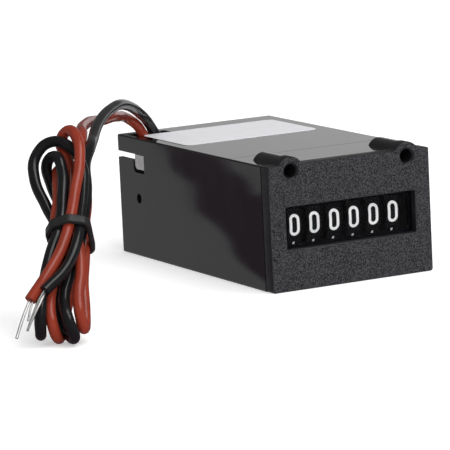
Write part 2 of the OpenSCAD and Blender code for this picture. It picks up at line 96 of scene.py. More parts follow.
# Materials. Most of a noise's values lie between NOISE_LOW and NOISE_HIGH
NOISE_LOW, NOISE_HIGH = 0.3, 0.7
BEVEL_SAMPLES = 4
# Length of a wave texture's bands at a scale of 1, in metres
BAND_L = 0.314


def map_range(tree, value, start, end, low=0.0, high=1.0):
    node = tree.nodes.new("ShaderNodeMapRange")
    node.inputs["From Min"].default_value = start
    node.inputs["From Max"].default_value = end
    node.inputs["To Min"].default_value = low
    node.inputs["To Max"].default_value = high
    tree.links.new(value, node.inputs["Value"])
    return node.outputs["Result"]


class Finish:
    """A Principled material with object-space noise for grain, tone and gloss."""

    def __init__(self, name, colour, roughness, metallic=0.0):
        self.mat = bpy.data.materials.new(name)
        self.mat.use_nodes = True
        self.tree = self.mat.node_tree
        self.bsdf = self.tree.nodes["Principled BSDF"]
        self.colour = colour
        self.bsdf.inputs["Base Color"].default_value = (*colour, 1)
        self.bsdf.inputs["Roughness"].default_value = roughness
        self.bsdf.inputs["Metallic"].default_value = metallic
        self.where = self.tree.nodes.new("ShaderNodeTexCoord").outputs["Object"]
        self.normal = None

    def link(self, source, target):
        self.tree.links.new(source, target)

    def noise(self, size, detail=3.0, stretch=(1, 1, 1)):
        mapping = self.tree.nodes.new("ShaderNodeMapping")
        mapping.inputs["Scale"].default_value = stretch
        self.link(self.where, mapping.inputs["Vector"])
        tex = self.tree.nodes.new("ShaderNodeTexNoise")
        tex.inputs["Scale"].default_value = 1 / (size * MM)
        tex.inputs["Detail"].default_value = detail
        self.link(mapping.outputs["Vector"], tex.inputs["Vector"])
        return tex.outputs["Fac"]

    def tone(self, fac, dark, light, start=NOISE_LOW, end=NOISE_HIGH):
        ramp = self.tree.nodes.new("ShaderNodeValToRGB")
        ramp.color_ramp.elements[0].position = start
        ramp.color_ramp.elements[1].position = end
        for stop, gain in zip(ramp.color_ramp.elements, (dark, light)):
            stop.color = (*(min(1, c * gain) for c in self.colour), 1)
        self.link(fac, ramp.inputs["Fac"])
        self.link(ramp.outputs["Color"], self.bsdf.inputs["Base Color"])
        return self

    def gloss(self, fac, low, high):
        level = map_range(self.tree, fac, NOISE_LOW, NOISE_HIGH, low, high)
        self.link(level, self.bsdf.inputs["Roughness"])
        return self

    def shine(self, level):
        self.bsdf.inputs["Specular IOR Level"].default_value = level
        return self

    def bump(self, height, depth):
        node = self.tree.nodes.new("ShaderNodeBump")
        node.inputs["Strength"].default_value = 1.0
        node.inputs["Distance"].default_value = depth * MM
        self.link(height, node.inputs["Height"])
        if self.normal:
            self.link(self.normal, node.inputs["Normal"])
        self.normal = node.outputs["Normal"]
        self.link(self.normal, self.bsdf.inputs["Normal"])
        return self

    def rounded(self, radius):
        node = self.tree.nodes.new("ShaderNodeBevel")
        node.samples = BEVEL_SAMPLES
        node.inputs["Radius"].default_value = radius * MM
        self.normal = node.outputs["Normal"]
        self.link(self.normal, self.bsdf.inputs["Normal"])
        return self

    def wave(self, pitch, axis, distortion, detail_scale):
        tex = self.tree.nodes.new("ShaderNodeTexWave")
        tex.bands_direction = axis
        tex.inputs["Scale"].default_value = BAND_L / (pitch * MM)
        tex.inputs["Distortion"].default_value = distortion
        tex.inputs["Detail Scale"].default_value = detail_scale
        self.link(self.where, tex.inputs["Vector"])
        return tex.outputs["Fac"]


def textured_black():
    f = Finish("textured_black", (0.026, 0.026, 0.029), roughness=0.55).shine(0.35)
    grain = f.noise(size=0.26, detail=4.0)
    f.tone(grain, dark=0.05, light=2.4, start=0.38, end=0.62)
    f.gloss(f.noise(size=2.5), low=0.45, high=0.6).bump(grain, depth=0.12)
    return f.mat


def gloss_black():
    f = Finish("gloss_black", (0.009, 0.009, 0.010), roughness=0.07).shine(0.4).rounded(radius=0.08)
    f.tone(f.noise(size=9.0), dark=0.85, light=1.15)
    f.gloss(f.noise(size=5.0, detail=5.0), low=0.05, high=0.1)
    f.bump(f.noise(size=2.4, detail=1.0), depth=0.002)
    return f.mat


def white_label():
    f = Finish("white_label", (0.86, 0.86, 0.89), roughness=0.45)
    f.tone(f.noise(size=3.0, detail=4.0), dark=0.97, light=1.02)
    f.gloss(f.noise(size=0.8), low=0.4, high=0.5).bump(f.noise(size=0.12), depth=0.004)
    return f.mat


def clear_window():
    f = Finish("clear_window", (0.02, 0.02, 0.022), roughness=0.04)
    f.bsdf.inputs["Alpha"].default_value = 0.05
    f.gloss(f.noise(size=3.0), low=0.03, high=0.06)
    return f.mat


def metal(name, colour, roughness, lines, stretch, depth=0.006):
    f = Finish(name, colour, roughness, metallic=1.0)
    f.tone(f.noise(size=4.0), dark=0.9, light=1.08)
    f.gloss(f.noise(size=1.5), low=roughness - 0.06, high=roughness + 0.1)
    f.bump(f.noise(size=lines, detail=2.0, stretch=stretch), depth)
    return f.mat


def moulded(name, colour, roughness, grain=0.6, shine=0.5, depth=0.008):
    f = Finish(name, colour, roughness).shine(shine)
    f.tone(f.noise(size=4.0), dark=0.9, light=1.12)
    f.gloss(f.noise(size=1.2), low=roughness - 0.05, high=roughness + 0.08)
    f.bump(f.noise(size=grain, detail=2.0), depth)
    return f.mat


def insulation(name, colour, dark, light):
    f = Finish(name, colour, roughness=0.3).shine(0.4)
    f.tone(f.noise(size=5.0, detail=4.0), dark, light)
    f.gloss(f.noise(size=1.8), low=0.13, high=0.24)
    f.bump(f.noise(size=2.2, detail=1.0), depth=0.006)
    return f.mat


def copper_winding():
    f = Finish("copper_winding", (0.5, 0.2, 0.08), roughness=0.35, metallic=0.85)
    turns = f.wave(pitch=0.22, axis="Y", distortion=0.4, detail_scale=2.0)
    f.tone(turns, dark=0.6, light=1.2)
    f.gloss(f.noise(size=1.2), low=0.28, high=0.42).bump(turns, depth=0.06)
    return f.mat


GRAIN_ALONG_X = (0.05, 1, 1)
GRAIN_EVEN = (1, 1, 1)
FINISHES = {
    "textured_black": textured_black(),
    "gloss_black": gloss_black(),
    "clear_window": clear_window(),
    "white_label": white_label(),
    "plated_steel": metal(
        "plated_steel", (0.76, 0.75, 0.73), roughness=0.36, lines=0.5, stretch=GRAIN_EVEN
    ),
    "steel_rod": metal(
        "steel_rod", (0.62, 0.62, 0.63), roughness=0.25, lines=0.2, stretch=GRAIN_ALONG_X
    ),
    "soft_iron": metal("soft_iron", (0.5, 0.5, 0.49), roughness=0.4, lines=0.4, stretch=GRAIN_EVEN),
    "wheel_black": moulded(
        "wheel_black", (0.006, 0.006, 0.007), roughness=0.45, grain=1.5, shine=0.12, depth=0.003
    ),
    "pinion_natural": moulded("pinion_natural", (0.75, 0.72, 0.62), roughness=0.4),
    "bobbin_black": moulded("bobbin_black", (0.03, 0.03, 0.03), roughness=0.45),
    "copper_winding": copper_winding(),
    "tinned_metal": metal(
        "tinned_metal", (0.88, 0.88, 0.87), roughness=0.42, lines=0.9, stretch=GRAIN_EVEN, depth=0.003
    ),
    "red_insulation": insulation("red_insulation", (0.235, 0.032, 0.016), dark=0.88, light=1.14),
    "black_insulation": insulation("black_insulation", (0.007, 0.007, 0.008), dark=0.8, light=1.25),
    "black_rubber": moulded(
        "black_rubber", (0.016, 0.016, 0.016), roughness=0.42, grain=0.35, shine=0.45
    ),
}
SATIN_BLACK = moulded(
    "satin_black", (0.014, 0.014, 0.016), roughness=0.45, grain=0.5, shine=0.3, depth=0.004
)
PRINT_WHITE = moulded("print_white", (0.9, 0.9, 0.92), roughness=0.5, grain=0.5, shine=0.3, depth=0.002)
PRINT_BLACK = moulded("print_black", (0.004, 0.004, 0.005), roughness=0.6, grain=0.3, shine=0.05)


def dress(obj, slot, body="housing", mat=None):
    obj.data.materials.clear()
    obj.data.materials.append(mat or FINISHES[slot])
    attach(obj, body)
    return obj


# Leads: each leaves the case's top, arches over to the hank, runs up and down it twice, and ends bare
BLACK_ROUTE = [
    (-10.5, 22.8, 20.7), (-10.9, 24.9, 22.2), (-11.7, 26, 24.1), (-13, 25.8, 26.1),
    (-14.7, 24.4, 27.7), (-16.8, 22, 28.9), (-20, 17, 30.3), (-23.3, 12.2, 31.7),
    (-27, 7.6, 33.1), (-30.9, 3, 34), (-34.9, -1.5, 34), (-39.2, -6.6, 33.5),
    (-43.2, -11.9, 32.5), (-46.8, -17.5, 31.3),
    (-50, -22.6, 30.5), (-53.1, -26.6, 28.2), (-55.2, -30.9, 24.2), (-58.1, -35, 19.8),
    (-61.3, -38.6, 15.3), (-65.1, -42.3, 11.3), (-68.1, -46, 7.7), (-69.1, -49.4, 4.8),
    (-68.3, -49.8, 1.9), (-68, -46.9, 1.6), (-68.1, -43.5, 4.3), (-66, -39.5, 8.1),
    (-62.7, -35.6, 12.2), (-59.7, -32, 16.4), (-59, -28.1, 20.7), (-59.2, -24.5, 25),
    (-59.4, -23.6, 28.7), (-58.7, -26, 30.3), (-59.1, -29.3, 28), (-61.2, -33.2, 23.9),
    (-63.9, -37.1, 19.6), (-67.3, -39.7, 15.2), (-70.4, -42.7, 10.4), (-72.7, -45.8, 6.5),
    (-73.2, -46.4, 3.1), (-72.1, -44, 2), (-70.7, -41.2, 4.8), (-67.6, -38.5, 9.3),
    (-64, -35.6, 13.7), (-61.9, -32.1, 17.6), (-62.2, -28.2, 21.8), (-62.6, -24.8, 26.5),
    (-61, -22.7, 30.4), (-58, -23.2, 32.6), (-55.6, -26, 31.6), (-55.2, -29.6, 28.3),
    (-57.2, -33.6, 24.4), (-60.1, -37.9, 20.5), (-63.1, -42, 17.1), (-66.7, -44.5, 13.2),
    (-71.9, -46.1, 10),
]
RED_ROUTE = [
    (-13.5, 22.8, 20.7), (-13.6, 24.7, 22.2), (-14.2, 26.2, 24), (-15.2, 26.5, 25.8),
    (-17.1, 26, 27.3), (-19.4, 24.2, 28.4), (-23, 19.1, 29.3), (-26.9, 14.2, 30.1),
    (-31.3, 9.6, 30.4), (-35.4, 4.1, 31.3),
    (-39.4, -1.3, 32.1), (-43.2, -7, 32.5), (-46.8, -12.8, 32.7), (-49.3, -18.1, 32.5),
    (-51.5, -21.6, 30.5), (-52.5, -24.5, 26.1), (-54.1, -28.4, 21.9), (-56.8, -32.4, 17.8),
    (-59.1, -36.6, 13.5), (-61.7, -40.8, 9.2), (-63.6, -44.8, 4.9), (-65.3, -47.7, 2.6),
    (-66.6, -49.3, 4.6), (-66.1, -47.6, 8.1), (-63.8, -44.4, 12.2), (-62.1, -40.5, 16.1),
    (-61.1, -36.1, 19.4), (-57.9, -31.8, 21.7), (-54.8, -28.1, 24.1), (-54.5, -25.3, 26.4),
    (-57.2, -24.6, 27.5), (-59.2, -27.4, 26.2), (-61.1, -31.1, 23.3), (-63.5, -34.5, 19.7),
    (-65, -37.9, 15.3), (-67.9, -41.4, 10.6), (-70.5, -45, 6.6), (-71, -47.1, 3.3),
    (-69.5, -45.8, 1.1), (-67.5, -43, 2.3), (-64.8, -40.7, 6.5), (-62.5, -38, 11.8),
    (-60.8, -34.3, 16.9), (-59.4, -30.7, 21.5), (-57, -28.2, 26), (-55.8, -24.8, 29.5),
    (-55.8, -22.5, 32.3), (-54.9, -24, 34.4), (-54.8, -27.3, 33.2), (-56.3, -30.9, 29.5),
    (-59.2, -34.4, 25.1), (-62.3, -38.1, 20.6), (-65.8, -41.3, 16.3), (-69.9, -43.6, 12.5),
    (-74.3, -45, 8.5),
]
# Metres
# Bare tips, in groups of (start, end, number of wires, wire radius)
BLACK_TIP = [((-71.5, -45.9, 10.2), (-76.7, -48.4, 3.9), 2, 0.21)]
RED_TIP = [
    ((-74.1, -44.9, 8.8), (-79.0, -48.7, 2.9), 1, 0.25),
    ((-73.8, -45.3, 8.5), (-76.0, -47.4, 5.4), 1, 0.2),
]
STRAND_STEPS, STRAND_TWIST = 12, 0.45
STRAND_SPREAD, STRAND_TAPER, STRAND_BOW = 1.1, 0.3, 0.35
SMOOTH_ANGLE = 35
WELD, CUT_WELD = 0.0005, 0.001


def line_curve(name, points, radius, steps=10, sides=5):
    data = bpy.data.curves.new(name, "CURVE")
    data.dimensions = "3D"
    data.resolution_u = steps
    data.bevel_depth = radius * MM
    data.bevel_resolution = sides
    data.use_fill_caps = True
    spline = data.splines.new("BEZIER")
    spline.bezier_points.add(len(points) - 1)
    for knot, p in zip(spline.bezier_points, points):
        knot.co = Vector(p) * MM
        knot.handle_left_type = knot.handle_right_type = "AUTO"
    obj = bpy.data.objects.new(name, data)
    bpy.context.collection.objects.link(obj)
    return obj


def mesh_of(obj):
    deps = bpy.context.evaluated_depsgraph_get()
    mesh = bpy.data.meshes.new_from_object(obj.evaluated_get(deps))
    mesh.transform(obj.matrix_world)
    return mesh


def keep_mesh(name, mesh, angle=SMOOTH_ANGLE):
    mesh.name = name
    for face in mesh.polygons:
        face.use_smooth = True
    mesh.set_sharp_from_angle(angle=math.radians(angle))
    obj = bpy.data.objects.new(name, mesh)
    bpy.context.collection.objects.link(obj)
    return obj


def merged(mesh, distance=WELD):
    bm = bmesh.new()
    bm.from_mesh(mesh)
    bmesh.ops.remove_doubles(bm, verts=bm.verts, dist=distance * MM)
    bmesh.ops.recalc_face_normals(bm, faces=bm.faces)
    bm.to_mesh(mesh)
    bm.free()
    return mesh


def closed_solid(name, bm, angle=SMOOTH_ANGLE):
    bmesh.ops.recalc_face_normals(bm, faces=bm.faces)
    mesh = bpy.data.meshes.new(name)
    bm.to_mesh(mesh)
    bm.free()
    return keep_mesh(name, mesh, angle)


def joined(name, parts):
    bm = bmesh.new()
    for part in parts:
        bm.from_mesh(part.data)
    mesh = bpy.data.meshes.new(name)
    bm.to_mesh(mesh)
    bm.free()
    for part in parts:
        bpy.data.objects.remove(part)
    return keep_mesh(name, mesh)


def strands(name, groups):
    """Tinned wires, with those of each group twisted round its line."""
    wires = []
    for start, end, count, wire_r in groups:
        a, b = Vector(start), Vector(end)
        along = (b - a).normalized()
        side = along.orthogonal().normalized()
        other = along.cross(side)
        for k in range(count):
            points = []
            for i in range(STRAND_STEPS + 1):
                t = i / STRAND_STEPS
                turn = 2 * math.pi * (k / count + t * STRAND_TWIST)
                reach = 0 if count == 1 else wire_r * (STRAND_SPREAD - STRAND_TAPER * t)
                bow = Vector((0, 0, STRAND_BOW * math.sin(math.pi * t)))
                away = math.cos(turn) * side + math.sin(turn) * other
                points.append(a.lerp(b, t) + reach * away + bow)
            curve = line_curve(f"{name}_{len(wires)}", points, wire_r, steps=6, sides=3)
            mesh = mesh_of(curve)
            bpy.data.objects.remove(curve)
            wires.append(keep_mesh(f"{name}_{len(wires)}_wire", mesh))
    return joined(name, wires)


black_lead = dress(line_curve("black_lead_wire", BLACK_ROUTE, LEAD_R), "black_insulation")
red_lead = dress(line_curve("red_lead_wire", RED_ROUTE, LEAD_R), "red_insulation")
black_tip = dress(strands("black_tip_strands", BLACK_TIP), "tinned_metal")
red_tip = dress(strands("red_tip_strands", RED_TIP), "tinned_metal")
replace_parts(black_lead, "black_lead", "black_lead_end", "lead_hank")
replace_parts(red_lead, "red_lead", "red_lead_end", "lead_hank")
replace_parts(black_tip, "black_lead_tip")
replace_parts(red_tip, "red_lead_tip")


# Tie: a rubber band round the strands, square to the hank
HANK_BASE = Vector((-69.33, -50.90, 1.0))
HANK_ACROSS = Vector((0.882, -0.4712, 0))
HANK_ALONG = Vector((0.3332, 0.6237, 0.7071))
HANK_NORMAL = Vector((-0.3332, -0.6237, 0.7071))
HANK_REACH = 12
TIE_AT = 23.3
TIE_HALF, TIE_T = 0.9, 0.85
TIE_SLACK = 0.06
TIE_CORNER, TIE_CORNER_STEPS, TIE_SMOOTH_ANGLE = 0.3, 4, 60


def crossings(curve, at):
    """Where the lead's line crosses the plane square to the hank at a height, as (across, normal)."""
    bare = curve.data.copy()
    bare.bevel_depth = 0
    line = bpy.data.objects.new("line", bare)
    bpy.context.collection.objects.link(line)
    mesh = mesh_of(line)
    bpy.data.objects.remove(line)
    spots = []
    local = []
    for v in mesh.vertices:
        p = v.co / MM - HANK_BASE
        local.append((p.dot(HANK_ACROSS), p.dot(HANK_ALONG), p.dot(HANK_NORMAL)))
    for a, b in zip(local, local[1:]):
        near = max(abs(a[0]), abs(a[2])) < HANK_REACH
        if near and (a[1] - at) * (b[1] - at) <= 0 and a[1] != b[1]:
            t = (at - a[1]) / (b[1] - a[1])
            spots.append((a[0] + t * (b[0] - a[0]), a[2] + t * (b[2] - a[2])))
    bpy.data.meshes.remove(mesh)
    return spots


def band_outline(spots, reach, count=72):
    """Hull round circles of that radius, as evenly turned support points."""
    outline = []
    for k in range(count):
        a = 2 * math.pi * k / count
        n = (math.cos(a), math.sin(a))
        far = max(spots, key=lambda s: s[0] * n[0] + s[1] * n[1])
        outline.append((far[0] + reach * n[0], far[1] + reach * n[1]))
    return outline


def make_tie():
    spots = crossings(black_lead, TIE_AT) + crossings(red_lead, TIE_AT)
    profile = []
    mid = LEAD_R + TIE_SLACK + TIE_T / 2
    for sx, sy, start in ((1, 1, 0), (-1, 1, 90), (-1, -1, 180), (1, -1, 270)):
        for k in range(TIE_CORNER_STEPS + 1):
            a = math.radians(start + 90 * k / TIE_CORNER_STEPS)
            reach = mid + sx * (TIE_T / 2 - TIE_CORNER) + TIE_CORNER * math.cos(a)
            profile.append((reach, sy * (TIE_HALF - TIE_CORNER) + TIE_CORNER * math.sin(a)))
    bm = bmesh.new()
    rings = []
    for reach, rise in profile:
        ring = []
        for u, w in band_outline(spots, reach):
            at = HANK_BASE + u * HANK_ACROSS + (TIE_AT + rise) * HANK_ALONG + w * HANK_NORMAL
            ring.append(bm.verts.new(at * MM))
        rings.append(ring)
    for r, ring in enumerate(rings):
        above = rings[(r + 1) % len(rings)]
        for k in range(len(ring)):
            m = (k + 1) % len(ring)
            bm.faces.new((ring[k], ring[m], above[m], above[k]))
    tie = dress(closed_solid("tie_band", bm, TIE_SMOOTH_ANGLE), "black_rubber")
    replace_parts(tie, "lead_tie")


make_tie()


# Outlines, as lists of points
def arc(cx, cy, rx, ry, start, end, count):
    return [
        (
            cx + rx * math.cos(math.radians(start + (end - start) * k / count)),
            cy + ry * math.sin(math.radians(start + (end - start) * k / count)),
        )
        for k in range(count + 1)
    ]


def circle(cx, cy, r, count=48):
    return arc(cx, cy, r, r, 0, 360, count)[:-1]


def round_rect(left, right, low, high, r, count=8):
    return (
        arc(right - r, low + r, r, r, -90, 0, count)
        + arc(right - r, high - r, r, r, 0, 90, count)
        + arc(left + r, high - r, r, r, 90, 180, count)
        + arc(left + r, low + r, r, r, 180, 270, count)
    )


def rect(left, right, low, high):
    return [(left, low), (right, low), (right, high), (left, high)]


# Solids. A cutter runs past what it cuts by OVERRUN
TO_XZ = Matrix.Rotation(math.pi / 2, 4, "X")
EDGE_SEGMENTS = 3
FLAT_WEIGHT = 100
OVERRUN = 1


def plate(name, outlines, low, high, edge, upright=True):
    """Flat part with rounded edges: the first outline is its rim and the others are holes through it."""
    data = bpy.data.curves.new(name, "CURVE")
    data.dimensions = "2D"
    data.fill_mode = "BOTH"
    data.extrude = ((high - low) / 2 - edge) * MM
    data.bevel_depth = edge * MM
    data.bevel_resolution = EDGE_SEGMENTS
    data.offset = -edge * MM
    for i, outline in enumerate(outlines):
        spline = data.splines.new("POLY")
        spline.use_cyclic_u = True
        spline.points.add(len(outline) - 1)
        for knot, (x, y) in zip(spline.points, outline if i == 0 else outline[::-1]):
            knot.co = (x * MM, y * MM, 0, 1)
    shape = bpy.data.objects.new(name, data)
    middle = (low + high) / 2 * MM
    if upright:
        shape.matrix_world = Matrix.Translation((0, middle, 0)) @ TO_XZ
    else:
        shape.matrix_world = Matrix.Translation((0, 0, middle))
    bpy.context.collection.objects.link(shape)
    bpy.context.view_layer.update()
    mesh = merged(mesh_of(shape))
    bpy.data.objects.remove(shape)
    return keep_mesh(name, mesh)


PLACE = {"X": lambda a, b, t: (t, a, b), "Y": lambda a, b, t: (a, t, b), "Z": lambda a, b, t: (a, b, t)}


def loft(name, sections):
    """Solid through rings of points that have the same number of points each."""
    bm = bmesh.new()
    rings = [[bm.verts.new(Vector(point) * MM) for point in section] for section in sections]
    bm.faces.new(rings[0])
    bm.faces.new(rings[-1][::-1])
    for near, far in zip(rings, rings[1:]):
        for k in range(len(near)):
            m = (k + 1) % len(near)
            bm.faces.new((near[k], far[k], far[m], near[m]))
    return closed_solid(name, bm)


def prism(name, outline, axis, low, high):
    return loft(name, [[PLACE[axis](a, b, t) for a, b in outline] for t in (low, high)])


def combine(obj, tools, operation="DIFFERENCE"):
    for tool in tools:
        mod = obj.modifiers.new("combine", "BOOLEAN")
        mod.operation = operation
        mod.solver = "EXACT"
        mod.object = tool
    bpy.context.view_layer.update()
    mesh = mesh_of(obj)
    name = obj.name
    for tool in tools:
        bpy.data.objects.remove(tool)
    bpy.data.objects.remove(obj)
    return keep_mesh(name, merged(mesh, CUT_WELD))


def flat_faced(obj):
    """Keeps the shading of large flat faces flat up to their rounded edges."""
    mod = obj.modifiers.new("flat_faces", "WEIGHTED_NORMAL")
    mod.weight = FLAT_WEIGHT
    mod.keep_sharp = True
    return obj


# Bezel: a grained plate with humps round its two screw holes, a window and a skirt inside the case
HUMP_R, HUMP_FILLET, FOOT_R = 2.75, 0.8, 0.6
MOUTH_R, MOUTH_DEPTH = 1.65, 0.35
BEZEL_EDGE = 0.25
GRAIN_LIMIT = 0.8
SKIRT_L, SKIRT_T, SKIRT_GAP, SKIRT_ROOT = 3.0, 0.9, 0.1, 0.3
BOSS_R, BOSS_FLOOR, BOSS_BACK = 2.6, 20.9, -20.6
BOSS_GAP, NOTCH_RISE = 0.2, 5
WINDOW_R = 0.3
LENS_MARGIN, LENS_POCKET = 0.8, 1.2


def humped_outline():
    half, top = CASE_W / 2, CASE_H
    rise = top - HOLE_Z + HUMP_FILLET
    run = math.sqrt((HUMP_R + HUMP_FILLET) ** 2 - rise**2)
    tilt = math.degrees(math.atan2(rise, run))
    points = arc(half - FOOT_R, FOOT_R, FOOT_R, FOOT_R, -90, 0, 8)
    points += arc(half - EDGE_R, top - EDGE_R, EDGE_R, EDGE_R, 0, 90, 6)
    for x in (HOLE_X, -HOLE_X):
        fillet = top + HUMP_FILLET
        points += arc(x + run, fillet, HUMP_FILLET, HUMP_FILLET, 270, 180 + tilt, 8)
        points += arc(x, HOLE_Z, HUMP_R, HUMP_R, tilt, 180 - tilt, 24)[1:-1]
        points += arc(x - run, fillet, HUMP_FILLET, HUMP_FILLET, -tilt, -90, 8)
    points += arc(-half + EDGE_R, top - EDGE_R, EDGE_R, EDGE_R, 90, 180, 6)
    points += arc(-half + FOOT_R, FOOT_R, FOOT_R, FOOT_R, 180, 270, 8)
    return points


def screw_cutter(name, x):
    """Round bar with a cone at the front, for a hole with a countersunk mouth."""
    stations = [(FRONT_Y - OVERRUN, MOUTH_R), (FRONT_Y, MOUTH_R)]
    stations += [(FRONT_Y + MOUTH_DEPTH, HOLE_R), (BEZEL_BACK + OVERRUN, HOLE_R)]
    return loft(name, [[PLACE["Y"](a, b, y) for a, b in circle(x, HOLE_Z, r)] for y, r in stations])


def make_bezel():
    window = round_rect(
        -WINDOW_W / 2, WINDOW_W / 2, WHEEL_Z - WINDOW_H / 2, WHEEL_Z + WINDOW_H / 2, WINDOW_R
    )
    face = plate("bezel_plate", [humped_outline(), window], FRONT_Y, BEZEL_BACK, BEZEL_EDGE)
    out = CASE_W / 2 - WALL - SKIRT_GAP
    low, high = WALL + SKIRT_GAP, CASE_H - WALL - SKIRT_GAP
    inner, floor, roof = out - SKIRT_T, low + SKIRT_T, high - SKIRT_T
    boss = BOSS_R + BOSS_GAP
    tray = [(-out, high), (-out, low), (out, low), (out, high)]
    tray += [(inner, high), (inner, floor), (-inner, floor), (-inner, high)]
    strip = rect(-HOLE_X + boss, HOLE_X - boss, roof, high)
    walls = [
        prism(name, outline, "Y", BEZEL_BACK - SKIRT_ROOT, BEZEL_BACK + SKIRT_L)
        for name, outline in (("skirt_tray", tray), ("skirt_strip", strip))
    ]
    face = combine(face, walls, "UNION")
    half_w, half_h = WINDOW_W / 2 + LENS_MARGIN, WINDOW_H / 2 + LENS_MARGIN
    pocket = rect(-half_w, half_w, WHEEL_Z - half_h, WHEEL_Z + half_h)
    notches = [
        prism(
            f"notch_{s}",
            rect(s * HOLE_X - boss, s * HOLE_X + boss, BOSS_FLOOR - BOSS_GAP, CASE_H + NOTCH_RISE),
            "Y",
            BEZEL_BACK,
            BEZEL_BACK + SKIRT_L + OVERRUN,
        )
        for s in (-1, 1)
    ]
    cutters = [prism("pocket", pocket, "Y", BEZEL_BACK - LENS_POCKET, BEZEL_BACK + OVERRUN)] + notches
    cutters += [screw_cutter(f"bezel_screw_{s}", s * HOLE_X) for s in (-1, 1)]
    bezel = dress(combine(face, cutters), "textured_black")
    bezel.data.materials.append(SATIN_BLACK)
    for side in bezel.data.polygons:
        side.material_index = 0 if side.normal.y < -GRAIN_LIMIT else 1
    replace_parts(bezel, "bezel")


make_bezel()


# Case: a gloss tube with two half-round bosses, latch windows, slots, round holes and the lead opening
CASE_EDGE, BOSS_EDGE, JOINT_GAP = 0.12, 0.08, 0.08
INNER_R = 0.3
LATCH_BACK, LATCH_L, LATCH_TOP, LATCH_H, LATCH_R = 24.4, 4.5, 20.7, 3.7, 1.0
SLOT_H = 1.3
SILL_RISE, SILL_SINK = 0.6, 0.05
SIDE_HOLE_Y, SIDE_HOLE_Z, SIDE_HOLE_R = 22.7, 11.8, 1.0
LEAD_GAP_W, LEAD_GAP_FRONT, LEAD_GAP_BACK, LEAD_GAP_R = 8.4, 17.0, 28.5, 0.4
SEAM_Y, SEAM_W, SEAM_DEPTH = -15.7, 0.15, 0.12
RIB_T, RIB_H, RIB_SINK = 0.8, 1.5, 0.1


def latch_outline():
    front, low = LATCH_BACK - LATCH_L, LATCH_TOP - LATCH_H
    slot_low = LATCH_TOP - SLOT_H
    corner = arc(LATCH_BACK - LATCH_R, low + LATCH_R, LATCH_R, LATCH_R, -90, 0, 8)
    end = BACK_Y + OVERRUN
    slot = [(LATCH_BACK, slot_low), (end, slot_low), (end, LATCH_TOP)]
    return [(front, low)] + corner + slot + [(front, LATCH_TOP)]


def make_case():
    half = CASE_W / 2
    inner = half - WALL
    shell = plate(
        "case_shell",
        [
            round_rect(-half, half, 0, CASE_H, EDGE_R),
            round_rect(-inner, inner, WALL, CASE_H - WALL, INNER_R, count=4),
        ],
        BEZEL_BACK + JOINT_GAP,
        BACK_Y,
        CASE_EDGE,
    )
    cut = math.degrees(math.asin((BOSS_FLOOR - HOLE_Z) / BOSS_R))
    bosses = [
        plate(
            f"boss_{s}",
            [arc(s * HOLE_X, HOLE_Z, BOSS_R, BOSS_R, cut, 180 - cut, 40)],
            BEZEL_BACK + JOINT_GAP,
            BOSS_BACK,
            BOSS_EDGE,
        )
        for s in (-1, 1)
    ]
    roof = CASE_H - WALL
    under_top = rect(-inner - RIB_SINK, inner + RIB_SINK, roof - RIB_H, roof + RIB_SINK)
    rib = prism("rear_rib", under_top, "Y", BACK_Y - RIB_T, BACK_Y - 2 * CASE_EDGE)
    shell = combine(shell, bosses + [rib], "UNION")
    cutters = [prism("latches", latch_outline(), "X", -CASE_W, CASE_W)]
    side_hole = circle(SIDE_HOLE_Y, SIDE_HOLE_Z, SIDE_HOLE_R)
    cutters.append(prism("side_hole", side_hole, "X", -CASE_W, CASE_W))
    for s in (-1, 1):
        bore = circle(s * HOLE_X, HOLE_Z, HOLE_R)
        cutters.append(prism(f"screw_{s}", bore, "Y", BEZEL_BACK - OVERRUN, HOLE_END_Y))
    gap = round_rect(-inner, -inner + LEAD_GAP_W, LEAD_GAP_FRONT, LEAD_GAP_BACK, LEAD_GAP_R)
    cutters.append(prism("lead_gap", gap, "Z", roof - OVERRUN, CASE_H + OVERRUN))
    seam = rect(-CASE_W, CASE_W, SEAM_Y, SEAM_Y + SEAM_W)
    cutters.append(prism("seam", seam, "Z", CASE_H - SEAM_DEPTH, CASE_H + OVERRUN))
    shell = combine(shell, cutters)
    sill_low, sill_out = LATCH_TOP - LATCH_H, half - SILL_SINK
    sills = []
    for s in (-1, 1):
        slope = [
            (s * sill_out, sill_low - SILL_SINK),
            (s * inner, sill_low - SILL_SINK),
            (s * inner, sill_low + SILL_RISE),
            (s * sill_out, sill_low),
        ]
        ends = (LATCH_BACK - LATCH_L - SILL_SINK, LATCH_BACK + SILL_SINK)
        sills.append(prism(f"latch_sill_{s}", slope, "Y", *ends))
    case = dress(flat_faced(combine(shell, sills, "UNION")), "gloss_black")
    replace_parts(case, "case")


make_case()


# Label: a bare film on the top
LABEL_LEFT, LABEL_RIGHT, LABEL_FRONT, LABEL_BACK = -15.3, 14.4, 5.4, 24.8
LABEL_T, LABEL_R, LABEL_EDGE = 0.12, 1.5, 0.04


def make_label():
    outline = round_rect(LABEL_LEFT, LABEL_RIGHT, LABEL_FRONT, LABEL_BACK, LABEL_R)
    film = plate("label_film", [outline], CASE_H, CASE_H + LABEL_T, LABEL_EDGE, upright=False)
    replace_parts(dress(film, "white_label"), "label")


make_label()


# Window: a clear plate with a black border printed on its back
LENS_FRONT, LENS_BACK, LENS_FIT, LENS_R, LENS_EDGE = -29.4, -28.6, 0.1, 0.3, 0.08
MASK_SIDE, MASK_LOW, MASK_HIGH = 13.9, 3.5, 3.3
BORDER_NEAR, BORDER_FAR, BORDER_EDGE = 0.005, 0.045, 0.01


